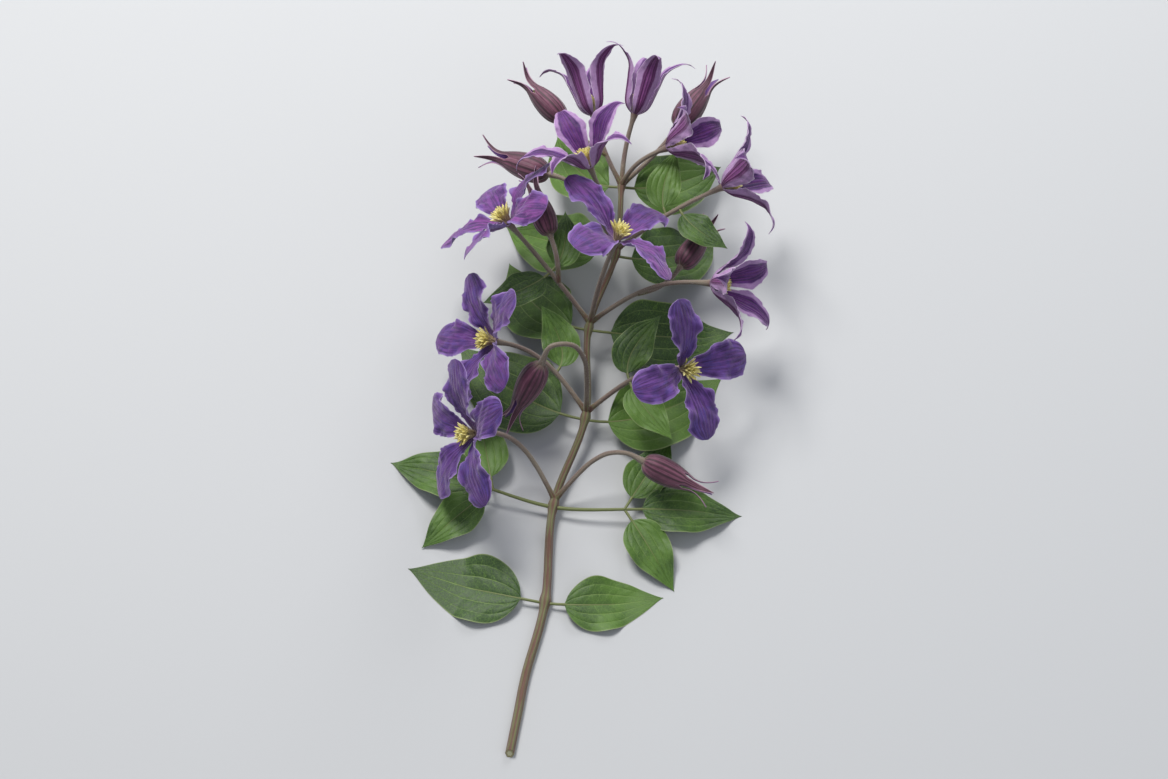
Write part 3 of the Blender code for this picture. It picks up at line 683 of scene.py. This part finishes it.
def petalSurface(form, count, quirk):
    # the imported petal's own surface, read finely
    share, out, up, lean = petalLine(form, quirk)
    half = petalHalf(form, count, quirk, share, out)
    share, out, up, lean, half = [values[:, None] for values in (share, out, up, lean, half)]
    u = petalColumns[None, :]
    notches = frill(share * form["length"], u, quirk["phase"] + 0.4, petalDetail["notchLength"])
    half = half * (1 + 0.035 * notches * np.abs(u) ** 5)
    bend = eased(form["wrap"], share)
    bend = np.where(np.abs(bend) < 1e-4, 1e-4, bend)
    arc = bend * half * u
    across, lift = np.sin(arc) / bend, (1 - np.cos(arc)) / bend
    lift = lift + petalLift(form, quirk, share, half, u)
    twist = np.radians(quirk["twist"]) * share
    turned = across * np.cos(twist) - lift * np.sin(twist)
    lift = across * np.sin(twist) + lift * np.cos(twist)
    across = turned + quirk["sway"] * share**2
    return share, half, (out - lift * np.cos(lean), across, up + lift * np.sin(lean))


# how far a petal departs from its form: lowest and highest
petalSpread = {
    "length": (0.94, 1.05), "width": (0.92, 1.06), "lean": (-16, 18), "twist": (-24, 24),
    "sway": (-5, 5), "waves": (2, 3), "phase": (0, 1),
}


def petalQuirks(formName, count, number):
    rng = np.random.default_rng(seed + number)
    for k in range(count):
        quirk = {"turn": 2 * math.pi * k / count + rng.uniform(-0.05, 0.05)}
        quirk |= {key: rng.uniform(*span) for key, span in petalSpread.items()}
        if formName == "bell":
            quirk |= {key: quirk[key] * 0.6 for key in ("lean", "twist", "sway")}
        yield quirk


def flowerAxes(way, roll):
    x = -squareTo(way)
    return around(x, np.cross(way, x), math.radians(roll))


def placed(seat, way, radial, tangent, out, across, up):
    # points of a surface on a flower's own axes
    return seat + out[..., None] * radial + across[..., None] * tangent + up[..., None] * way


def makeBloom(number, base, way, formName, count, roll):
    form, detail = petalForms[formName], petalDetail
    x, y = flowerAxes(way, roll)
    seat = base + way * detail["seatGap"]
    piece = Piece()
    addTurned(piece, seat, way, detail["hub"], 0.3, 24, tone=0.5, **plain)
    u = petalColumns[None, :]
    rose = min(1.0, max(0.0, (13 - number) / 7))  # younger flowers, higher on the stem, are rosier inside
    for k, quirk in enumerate(petalQuirks(formName, count, number)):
        share, half, surface = petalSurface(form, count, quirk)
        grid = placed(seat, way, *around(x, y, quirk["turn"]), *surface)
        taper = np.minimum(1, 6 * (1 - np.abs(u))) * np.minimum(1, 12 * (1 - share) + 0.1)
        thickness = detail["edgeThickness"] + (detail["thickness"] - detail["edgeThickness"]) * taper
        place = spread(half * u, share * form["length"], 17.0 * (5 * number + k))
        tone = 0.8 * rose + 0.2 * ((goldenShare * (7 * number + k)) % 1)
        addBlade(piece, grid, thickness, u, share, tone, place)
    piece.make(f"bloomPetals{number}", petalSkins[formName], f"bloom_{number}_petals", 60)
    makeStamens(number, seat + way * detail["stamenSeat"], way, x, y, form)


def addStamen(piece, rng, foot, way, side, sideways, layer, form):
    lean = math.radians(form["spread"] * (0.15 + 1.15 * layer**1.5) + rng.uniform(-4, 4))
    start = foot + way * (1.8 * (1 - layer)) + side * (0.5 + 2.0 * layer)
    first = unit(way + side * math.tan(lean * 0.5) + sideways * rng.uniform(-0.06, 0.06))
    last = unit(way + side * math.tan(lean * 1.35 + 0.02) + sideways * rng.uniform(-0.16, 0.16))
    length = rng.uniform(9.0, 11.0) + 1.6 * layer
    path = through(turning(start, first, last, length, 1.0, 4).points, 0.7)
    share = path.run / path.length
    radii = 0.42 + 0.22 * smoothStep(share, 0.38, 0.60) - 0.44 * smoothStep(share, 0.78, 1.0)
    tone = rng.uniform(0, 1)
    addTube(piece, path.points, radii, 6, ribbed(0.42, 2), along=share, tone=tone, aged=form["aged"])


def makeStamens(number, foot, way, x, y, form):
    rng = np.random.default_rng(seed + 100 + number)
    piece = Piece()
    addTurned(piece, foot, way, petalDetail["core"], 0.6, 12, along=0.3, tone=0.5, aged=form["aged"])
    for k in range(form["stamens"]):
        side, sideways = around(x, y, 2 * math.pi * k * goldenTurn)
        addStamen(piece, rng, foot, way, side, sideways, (k + 0.5) / form["stamens"], form)
    piece.make(f"bloomStamens{number}", stamenSkin, f"bloom_{number}_stamens")


# buds
budForm = {
    "body": 0.66,
    # the sepal's middle line: radius in shares of the widest, at shares of the body's length
    "profile": (
        (-0.03, 0.16), (-0.01, 0.30), (0.02, 0.50), (0.08, 0.73), (0.20, 0.93), (0.38, 1.0),
        (0.58, 0.93), (0.76, 0.76), (0.90, 0.58), (1.0, 0.49),
    ),
    "tips": ((1.13, 0.52), (1.27, 0.74), (1.40, 1.08)), "neck": 0.49,
    "core": ((0.02, 0.18), (0.12, 0.66), (0.30, 0.80), (0.50, 0.60), (0.68, 0.20)), "stamens": 16,
    "stamenRadii": (0.5, 0.6, 0.7, 0.75, 0.7, 0.25), "rows": 50, "rib": 0.34, "ribWidth": 0.10,
    "thickness": 0.9, "tipHalf": 2.9,
}
budRibs = (0.0, 0.46)  # as petalRibs

budLook = {
    "plum": rgb(86, 40, 62), "rose": rgb(126, 74, 96), "rib": rgb(48, 16, 32),
    "rim": rgb(180, 140, 162), "inner": rgb(96, 52, 128), "green": rgb(128, 118, 92),
    "stamen": rgb(198, 190, 126),
    "ribLines": ((0.16, 0.85), (0.20, 1.0)),  # widths and strengths, at budRibs
}


def budFinish():
    finish = Finish("bud_plum", Sheen_Weight=0.28, Sheen_Roughness=0.5)
    look, mix, smooth, noise = budLook, finish.mix, finish.smooth, finish.noise
    across, along, front, tone, place = finish.fields("across", "along", "front", "tone", "place")
    edge = abs(across)
    streaks = noise(finish.vector(across * 8, along * 2.2, tone * 7), 1.0, 4.0, 0.6)
    mottle = noise(place, 0.2, 3.0)
    shade = streaks + (mottle - 0.5) * 0.5 + (tone - 0.5) * 0.3
    skin = mix(smooth(shade, 0.38, 0.72), look["plum"], look["rose"])
    seam = finish.line(edge, 1.0, 0.09) * (1 - smooth(along, 0.35, 0.62))
    ribs = finish.lines(edge, budRibs, look["ribLines"]) + seam
    skin = mix(ribs * (0.72 + streaks * 0.45), skin, look["rib"])
    skin = mix((1 - smooth(along, 0.0, 0.10)) * 0.6, skin, look["green"])
    skin = mix(smooth(edge, 0.84, 1.0) * smooth(along, 0.4, 0.7) * 0.9, skin, look["rim"])
    inside = mix(smooth(edge, 0.6, 0.95), look["inner"], look["rim"])
    colour = mix(front, inside, skin)
    colour = mix(smooth(along, 1.2, 1.6), colour, look["stamen"])
    height = streaks * 0.6 + mottle * 0.5
    return finish.use(Base_Color=colour, Normal=finish.bump(height, 0.4), Roughness=0.5 + streaks * 0.2)


budSkin = budFinish()
budColumns = columnsRound(budRibs, budForm["ribWidth"], 15)


def sepalLine(length, radius, parting):
    # a sepal's middle line: up the body, in to the neck, and out again by as much as the tips part
    body, neck, rows = length * budForm["body"], budForm["neck"], budForm["rows"]
    knots = [(a * body, r * radius, 0.0) for a, r in budForm["profile"]]
    knots += [(a * body, (neck + (r - neck) * parting) * radius, 0.0) for a, r in budForm["tips"]]
    line = through(knots, length / (4 * rows))
    return Path(line.at(line.length * np.linspace(0, 1, rows + 1) ** 1.35))


def sepalSurface(line, body, u):
    # a quarter of the bud's girth, narrowed to a blade in the tip, with ribs and with edges that meet
    share = (line.run / line.length)[:, None]
    up, out = line.points[:, :1], line.points[:, 1:2]
    slope = np.gradient(line.points, line.run, axis=0)
    lean = np.arctan2(slope[:, 1], slope[:, 0])[:, None]
    height = up / body
    full = out * math.pi / 4 * 1.04
    tip = budForm["tipHalf"] * (1 - 0.93 * np.clip((share - 0.60) / 0.40, 0, 1) ** 1.3)
    half = np.minimum(full, np.maximum(tip, full * (1 - smoothStep(height, 0.74, 0.98))))
    bend = 1 / np.maximum(out, 1.5)
    arc = bend * half * u
    across, lift = np.sin(arc) / bend, (1 - np.cos(arc)) / bend
    reach = budForm["rib"] * (1 - 0.5 * share) * smoothStep(share, 0.0, 0.12)
    lift = lift - reach * ridges(np.abs(u), budRibs, budForm["ribWidth"])
    lift = lift + 0.35 * u**8 * (1 - smoothStep(height, 0.5, 1.0))
    lift = lift - 0.5 * u**6 * smoothStep(height, 0.75, 1.1)
    return share, half, across, out - lift * np.cos(lean), up + lift * np.sin(lean)


def addBudStamens(piece, seat, way, x, y, body, radius):
    # the young stamens, packed behind the parted tips
    total = budForm["stamens"]
    for k in range(total):
        layer = (k + 0.5) / total
        side = around(x, y, 2 * math.pi * k * goldenTurn)[0]
        steps = np.linspace(0.42, 0.90 - 0.10 * layer, len(budForm["stamenRadii"]))
        reach = radius * (0.05 + 0.25 * layer) * (1 + 0.5 * np.sin(steps * math.pi))
        points = seat + np.outer(steps * body, way) + np.outer(reach, side)
        addTube(piece, points, budForm["stamenRadii"], 6, tone=layer, **young)


def makeBud(number, base, way, length, radius, roll):
    x, y = flowerAxes(way, roll)
    seat = base + way * petalDetail["seatGap"]
    body = length * budForm["body"]
    rng = np.random.default_rng(seed + 300 + number)
    u = budColumns[None, :]
    piece = Piece()
    for k in range(4):
        line = sepalLine(length, radius, 1.0 + 0.5 * (k % 2) + rng.uniform(-0.1, 0.1))
        share, half, across, out, up = sepalSurface(line, body, u)
        across = across + rng.uniform(-1.6, 1.6) * smoothStep(share, 0.7, 1.0)
        grid = placed(seat, way, *around(x, y, math.pi / 2 * k), out, across, up)
        thickness = budForm["thickness"] * (1 - 0.55 * share) * np.minimum(1, 5 * (1 - np.abs(u)) + 0.35)
        thickness = thickness * (0.4 + 0.6 * smoothStep(share, 0.0, 0.1))
        place = spread(half * u, share * length, 23.0 * (5 * number + k))
        addBlade(piece, grid, thickness, u, share, (goldenShare * (3 * number + k)) % 1, place)
    core = [(a * body, r * radius) for a, r in budForm["core"]]
    addTurned(piece, seat, way, core, 1.0, 16, tone=0.3, **young)
    addBudStamens(piece, seat, way, x, y, body, radius)
    piece.make(f"budSepals{number}", budSkin, f"bud_{number}", 60)


blooms = buds = 0
for name, shoot in shoots.items():
    path = shootPaths[name]
    base, way = path.points[-1], path.way(path.length)
    kind, *carried = shoot[-1]
    if kind == "bud":
        buds += 1
        makeBud(buds, base, way, *carried)
    else:
        blooms += 1
        makeBloom(blooms, base, way, kind, *carried)
print("flowers:", blooms, "blooms and", buds, "buds")


# leaves
# each leaf: where it sits, its heading at the stem and at its tip, blade length, half width, stalk, roll
leaves = {
    "leaf_1_left": (1, (-90, 8), (-80, -16), 80, 24, 12, 4),
    "leaf_1_right": (1, (90, 8), (70, -14), 66, 19, 9, -6),
    "leaf_3_left": (3, (-90, 0), (-52, -16), 96, 30, 14, 8),
    "leaf_3_right": (3, (90, 0), (42, -14), 92, 28, 12, -6),
    "leaf_4_left": (4, (-90, 0), (-30, -24), 86, 25, 9, 10),
    "leaf_4_right": (4, (90, 0), (66, -24), 92, 27, 12, -8),
    "leaf_5_left": (5, (-90, 0), (-62, -30), 84, 25, 10, 8),
    "leaf_5_right": (5, (90, 0), (32, -34), 84, 25, 8, -8),
    "leaf_6_left": (6, (-90, -10), (-26, -18), 76, 22, 6, 14),
    "leaf_6_right": (6, (90, -10), (40, -22), 78, 23, 6, -16),
    "small_leaf_five_right_a": (("five_right", 0.62), (150, 0), (112, -6), 40, 11.5, 4, 0),
    "small_leaf_five_right_b": (("five_right", 0.5), (-30, 10), (14, 14), 44, 12, 4, 0),
    "small_leaf_four_left_a": (("four_left", 0.5), (30, 10), (-12, 10), 42, 12, 4, 0),
    "small_leaf_four_left_b": (("four_left", 0.5), (-150, 0), (-116, -8), 46, 13, 4, 0),
    "small_leaf_three_left": (("three_left", 0.4), (10, 10), (-46, 22), 46, 13, 4, 0),
    "small_leaf_three_right_a": (("three_right", 0.45), (-20, 10), (36, 16), 48, 13.5, 4, 0),
    "small_leaf_three_right_b": (("three_right", 0.45), (170, 0), (128, -10), 46, 13, 4, 0),
}

threefoldLeaves = {
    "threefold_leaf_left": (2, (-90, 6), (-80, 3), 38, 64, 18),
    "threefold_leaf_right": (2, (90, 6), (80, 3), 44, 68, 18),
}

leafForm = {
    "rise": 0.66, "fall": 1.25, "fold": 0.20, "curl": 0.10, "wave": 0.11, "rows": 56,
    "veinWidth": 0.04, "veinDepth": 0.32, "pucker": 0.26, "thickness": 0.42, "seatGap": 0.3,
    "leafletStalk": 11.0, "leaflets": ((0.0, 1.0, 0.0), (-60.0, 0.82, 0.4), (60.0, 0.82, -0.4)),
}
leafVeins = (0.0, 0.36, 0.70)  # as petalRibs, but sunk

leafLook = {
    "dark": rgb(44, 70, 32), "green": rgb(79, 112, 42), "light": rgb(108, 143, 60),
    "vein": rgb(138, 162, 92), "under": rgb(112, 138, 92), "edge": rgb(142, 158, 104),
    "stalk": rgb(112, 120, 74),
    "veinLines": ((0.028, 1.0), (0.022, 0.7), (0.02, 0.4)),  # widths and strengths, at leafVeins
}


def leafFinish():
    finish = Finish("leaf_green", Specular_IOR_Level=0.40)
    look, mix, smooth, noise = leafLook, finish.mix, finish.smooth, finish.noise
    across, along, front, tone, place = finish.fields("across", "along", "front", "tone", "place")
    edge = abs(across)
    cloud = noise(place, 0.045, 3.0, 0.55)
    grain = noise(place, 0.9, 3.0, 0.6)
    mainVeins = finish.lines(edge, leafVeins, look["veinLines"])
    # side nerves that climb towards the edge, and the fine net between them
    climb = along * 11 - edge * 2.6 + noise(place, 0.12) * 2.2
    nerve = finish.maths("PINGPONG", climb, 0.5)
    nerves = (1 - smooth(nerve, 0.0, 0.055)) * 0.8
    drift = finish.vectorMaths("MULTIPLY", noise(place, 0.5), (2.0, 2.0, 0.0))
    cells = {"Vector": finish.vectorMaths("ADD", place, drift), "Scale": 0.55}
    cell = finish.node("ShaderNodeTexVoronoi", {"feature": "DISTANCE_TO_EDGE"}, cells)
    fineNet = 1 - smooth(cell, 0.0, 0.12)
    upper = mix(smooth(cloud + (tone - 0.5) * 0.55, 0.26, 0.72), look["dark"], look["green"])
    upper = mix(smooth(grain, 0.45, 0.8) * 0.35, upper, look["light"])
    upper = mix(nerves * 0.46 + fineNet * 0.24, upper, look["light"])
    upper = mix(mainVeins * 0.75, upper, look["vein"])
    under = mix(nerves * 0.3 + mainVeins * 0.6, look["under"], look["vein"])
    colour = mix(front, under, upper)
    colour = mix(smooth(edge, 0.955, 1.0) * 0.85, colour, look["edge"])
    colour = mix(1 - smooth(along, -0.02, 0.0), colour, look["stalk"])
    height = (1 - nerves) * 0.26 + (1 - fineNet) * 0.08 - mainVeins * 0.5 + grain * 0.10 + cloud * 0.4
    return finish.use(Base_Color=colour, Normal=finish.bump(height, 0.34), Roughness=0.42 + grain * 0.22)


leafSkin = leafFinish()
leafColumns = columnsRound(leafVeins, 0.035, 23)


def pressed(height, lowest):
    # heights eased on to the surface that the leaf lies on
    ease = 0.5
    return lowest + ease * np.logaddexp(0, (height - lowest) / ease) - ease * 0.02


def bladeLift(part, wide, u, bladeLength, phase):
    # how far a row of the blade stands off its middle line: a fold, waves, sunk veins and puckers
    form, run, off = leafForm, part * bladeLength, np.abs(u)
    wave = np.sin(2 * np.pi * (2.2 * part + np.where(u < 0, phase[0], phase[1])))
    lift = wide * (form["fold"] * off**1.2 - form["curl"] * u**2 + form["wave"] * wave * u**2)
    reach = min(1.0, wide / 9.0)
    lift = lift - form["veinDepth"] * reach * ridges(off, leafVeins, form["veinWidth"])
    pucker = np.sin(2 * np.pi * (run / 8.5 - 2.4 * off + phase[0]))
    pucker = pucker * (0.55 + 0.45 * np.sin(2 * np.pi * (run / 21 + 1.6 * u + phase[1])))
    return lift + form["pucker"] * reach * pucker * np.sin(np.pi * off) ** 2


def addMidrib(piece, path, stalk, bladeLength, tone):
    # the stalk, which runs on under the blade as its midrib
    ribEnd = stalk + 0.62 * bladeLength
    runs = np.linspace(0.0, ribEnd, 40)
    ribShare = np.clip((runs - stalk) / (ribEnd - stalk), 0, 1)
    radii = 0.95 - 0.45 * ribShare**0.5 - 0.35 * ribShare
    points = path.at(runs)
    points[:, 2] += -0.35 * (runs > stalk) * (1 - ribShare) - 0.15
    points[:, 2] = np.maximum(points[:, 2], radii + 0.02)
    points[0] -= path.way(0.0) * 0.8
    addTube(piece, points, radii, 10, tone=tone, **plain)


def addLeaf(piece, path, stalk, bladeLength, halfWidth, roll, number, tone):
    phase = np.random.default_rng(seed + 200 + number).uniform(0, 1, 2)
    share = np.linspace(0, 1, leafForm["rows"] + 1) ** 0.9
    u = leafColumns
    half = np.maximum(halfWidth * outlined(leafForm, share), 0.5 * (1 - share) + 0.12)
    rows = []
    for part, wide in zip(share, half):
        run = stalk + part * bladeLength
        way = path.way(run, 2.0)
        side = unit(np.cross(way, (0.0, 0.0, 1.0)))
        side, face = around(side, np.cross(side, way), math.radians(roll))
        lift = bladeLift(part, wide, u, bladeLength, phase)
        rows.append(path.at(run) + np.outer(wide * u, side) + np.outer(lift, face))
    grid = np.array(rows)
    grid[..., 2] = pressed(grid[..., 2], leafForm["thickness"] / 2)
    thickness = leafForm["thickness"] * np.minimum(1, 4 * (1 - np.abs(u))[None, :] + 0.4)
    place = spread(half[:, None] * u[None, :], (share * bladeLength)[:, None], 31.0 * number)
    addBlade(piece, grid, thickness, u[None, :], share[:, None], tone, place)
    addMidrib(piece, path, stalk, bladeLength, tone)


def leafStart(place, first):
    centre, way, radius = foothold(place, -1.5)
    side = heading(*first)
    side = unit(side - (side @ way) * way)
    return centre + side * (radius + leafForm["seatGap"]), side


for number, (name, (place, first, last, length, halfWidth, stalk, roll)) in enumerate(leaves.items()):
    start, side = leafStart(place, first)
    path = through(turning(start, side, heading(*last), length + stalk, 0.45, 16).points, 1.0)
    piece = Piece()
    addLeaf(piece, path, stalk, length, halfWidth, roll, number, (goldenShare * number) % 1)
    piece.make("blade_" + name, leafSkin, name, 60)

for number, (name, (place, first, last, stalk, length, halfWidth)) in enumerate(threefoldLeaves.items()):
    start, side = leafStart(place, first)
    path = turning(start, side, heading(*last), stalk, 0.5, 6)
    fine = through(path.points, 1.0)
    points = fine.points.copy()
    points[0] -= fine.way(0.0) * 0.8
    piece = Piece()
    addTube(piece, points, np.linspace(1.3, 1.0, len(points)), 12, tone=0.5, **plain)
    for k, (apart, size, rise) in enumerate(leafForm["leaflets"]):
        azimuth = last[0] + apart
        begin = path.points[-1] + 0.6 * heading(azimuth, 0) + (0.0, 0.0, rise)
        blade, leafletStalk = length * size, leafForm["leafletStalk"] * size
        ways = heading(azimuth, 2), heading(azimuth, -20)
        lie = through(turning(begin, *ways, blade + leafletStalk, 1.0, 14).points, 1.0)
        addLeaf(piece, lie, leafletStalk, blade, halfWidth * size, 0, 50 + 5 * number + k, 0.3 + 0.2 * k)
    piece.make("blade_" + name, leafSkin, name, 60)
print("leaves:", len(leaves), "single and", len(threefoldLeaves), "of three leaflets")


# down on the stalks
downPlan = {"perMillimetre": 9, "length": (0.45, 0.95), "width": 0.07, "colour": rgb(196, 190, 182)}


def addHair(points, faces, foot, out, side, length, width):
    # a thin three-sided spike, closed at its foot
    n = len(points)
    third = np.cross(out, side)
    corners = ((1.0, 0.0), (-0.5, 0.8), (-0.5, -0.8))
    points += [foot + (side * a + third * b) * width for a, b in corners] + [foot + out * length]
    faces += [(n, n + 1, n + 3), (n + 1, n + 2, n + 3), (n + 2, n, n + 3), (n, n + 2, n + 1)]


def makeDown():
    rng = np.random.default_rng(seed + 400)
    points, faces = [], []
    for fine, radii in hairyShoots:
        for _ in range(int(fine.length * downPlan["perMillimetre"])):
            run = rng.uniform(3.0, fine.length - 0.5)
            turn = rng.uniform(0, 2 * math.pi)
            way = fine.way(run)
            side = squareTo(way)
            out = around(side, np.cross(side, way), turn)[0]
            foot = fine.at(run) + out * (float(np.interp(run, fine.run, radii)) * 0.97)
            lay = unit(out + way * rng.uniform(0.1, 0.8) + np.cross(out, way) * rng.uniform(-0.3, 0.3))
            length = rng.uniform(*downPlan["length"])
            addHair(points, faces, foot, lay, unit(np.cross(lay, way)), length, downPlan["width"])
    piece = Piece()
    piece.add(np.array(points), faces)
    finish = Finish("down_grey", Base_Color=downPlan["colour"], Roughness=0.8)
    piece.make("stalkDown", finish.material)


makeDown()
print("down: hairs on the shoots and stalks")


# surface, light and camera
studio = {
    "floor": rgb(190, 192, 194), "world": (0.86, 0.90, 1.0, 1.0), "worldStrength": 0.32,
    "azimuth": 10.0, "elevation": 60.0, "distance": 1.72, "lens": 79.0,
    "target": (0.002, -0.002, 0.030),
    # azimuth, elevation, distance, size, power and colour
    "lights": {
        "keyLight": (-42, 56, 2.7, 1.1, 70, (1.0, 0.98, 0.95)),
        "fillLight": (120, 40, 2.2, 1.6, 7, (0.92, 0.95, 1.0)),
        "backLight": (10, 30, 2.0, 1.0, 14, (1.0, 1.0, 1.0)),
    },
}


def makeFloor():
    half = 4.0
    corners = [(-half, -half, 0), (half, -half, 0), (half, half, 0), (-half, half, 0)]
    mesh = bpy.data.meshes.new("floor")
    mesh.from_pydata(corners, [], [(0, 1, 2, 3)])
    floor = bpy.data.objects.new("floor", mesh)
    bpy.context.scene.collection.objects.link(floor)
    mesh.materials.append(Finish("floor_pale", Base_Color=studio["floor"], Roughness=0.75).material)


def aim(data, name, azimuth, elevation, distance, target=(0.0, 0.0, 0.0)):
    # a light or the camera, set at an azimuth from +Y and looking at its target
    thing = bpy.data.objects.new(name, data)
    direction = Vector(heading(azimuth, elevation))
    thing.location = Vector(target) + direction * distance
    thing.rotation_euler = (-direction).to_track_quat("-Z", "Y").to_euler()
    bpy.context.scene.collection.objects.link(thing)
    return thing


def makeLight(name, azimuth, elevation, distance, size, power, colour):
    data = bpy.data.lights.new(name, "AREA")
    data.shape, data.size, data.energy, data.color = "DISK", size, power, colour
    aim(data, name, azimuth, elevation, distance)


def makeCamera():
    data = bpy.data.cameras.new("camera")
    data.lens = studio["lens"]
    azimuth = 180 - studio["azimuth"]  # it looks on from the cut end's side
    camera = aim(data, "camera", azimuth, studio["elevation"], studio["distance"], studio["target"])
    bpy.context.scene.camera = camera


makeFloor()
for name, light in studio["lights"].items():
    makeLight(name, *light)
world = bpy.data.worlds.new("studio")
world.use_nodes = True
background = world.node_tree.nodes["Background"].inputs
background[0].default_value = studio["world"]
background[1].default_value = studio["worldStrength"]
bpy.context.scene.world = world
bpy.context.scene.view_settings.view_transform = "Standard"
makeCamera()
print("studio: floor, lights and camera")
